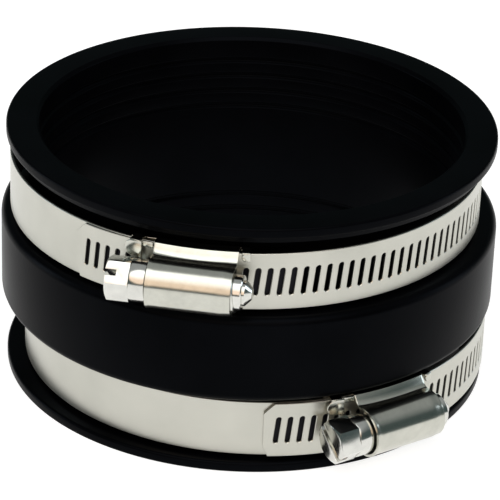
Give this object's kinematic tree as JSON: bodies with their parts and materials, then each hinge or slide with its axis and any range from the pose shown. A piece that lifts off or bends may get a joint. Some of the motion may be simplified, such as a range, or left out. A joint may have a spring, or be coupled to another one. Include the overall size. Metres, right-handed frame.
{
  "type": "pipe coupling",
  "caption": "Flexible rubber sleeve that joins two plain pipe ends, squeezed onto each pipe by a worm-drive hose clamp.",
  "frame": {"origin": "on the bore's axis, at the middle of the sleeve's height", "axes": "+Z along the bore, out of the upper socket; -Y towards the front, where both screw housings are"},
  "size_m": [0.1052, 0.1119, 0.055],
  "materials": {
    "sleeve_rubber": "satin moulded black rubber",
    "band_steel": "satin rolled stainless steel",
    "housing_steel": "polished pressed stainless steel",
    "screw_steel": "bright plated steel"
  },
  "bodies": {
    "sleeve": {"sleeve": "sleeve_rubber"},
    "upper_clamp": {"upper_band": "band_steel", "upper_housing": "housing_steel", "upper_saddle": "housing_steel"},
    "upper_tail": {"upper_slotted_band": "band_steel"},
    "upper_worm": {"upper_screw": "screw_steel"},
    "lower_clamp": {"lower_band": "band_steel", "lower_housing": "housing_steel", "lower_saddle": "housing_steel"},
    "lower_tail": {"lower_slotted_band": "band_steel"},
    "lower_worm": {"lower_screw": "screw_steel"}
  },
  "joints": [
    {"name": "upper_clamp_turn", "type": "hinge", "parent": "sleeve", "child": "upper_clamp", "pos_m": [0, 0, 0.01525], "axis": [0, 0, 1], "continuous": true},
    {"name": "upper_screw_turn", "type": "hinge", "parent": "upper_clamp", "child": "upper_worm", "pos_m": [-0.01063, -0.05293, 0.01525], "axis": [0.9848, -0.1736, 0], "range_deg": [-2880, 1440]},
    {"name": "upper_band_travel", "type": "hinge", "parent": "upper_clamp", "child": "upper_tail", "pos_m": [-0.0013, 0, 0.01525], "axis": [0, 0, -1], "range_deg": [-22.5, 11.5]},
    {"name": "lower_clamp_turn", "type": "hinge", "parent": "sleeve", "child": "lower_clamp", "pos_m": [0, 0, -0.0183], "axis": [0, 0, 1], "continuous": true},
    {"name": "lower_screw_turn", "type": "hinge", "parent": "lower_clamp", "child": "lower_worm", "pos_m": [0.03176, -0.04456, -0.0183], "axis": [0.829, 0.5592, 0], "range_deg": [-2880, 1440]},
    {"name": "lower_band_travel", "type": "hinge", "parent": "lower_clamp", "child": "lower_tail", "pos_m": [0.0017, 0, -0.0183], "axis": [0, 0, -1], "range_deg": [-22.5, 11.5]}
  ],
  "couplings": [
    {"joint": "upper_band_travel", "follows": "upper_screw_turn", "ratio": 0.0076586},
    {"joint": "lower_band_travel", "follows": "lower_screw_turn", "ratio": 0.0076586}
  ]
}
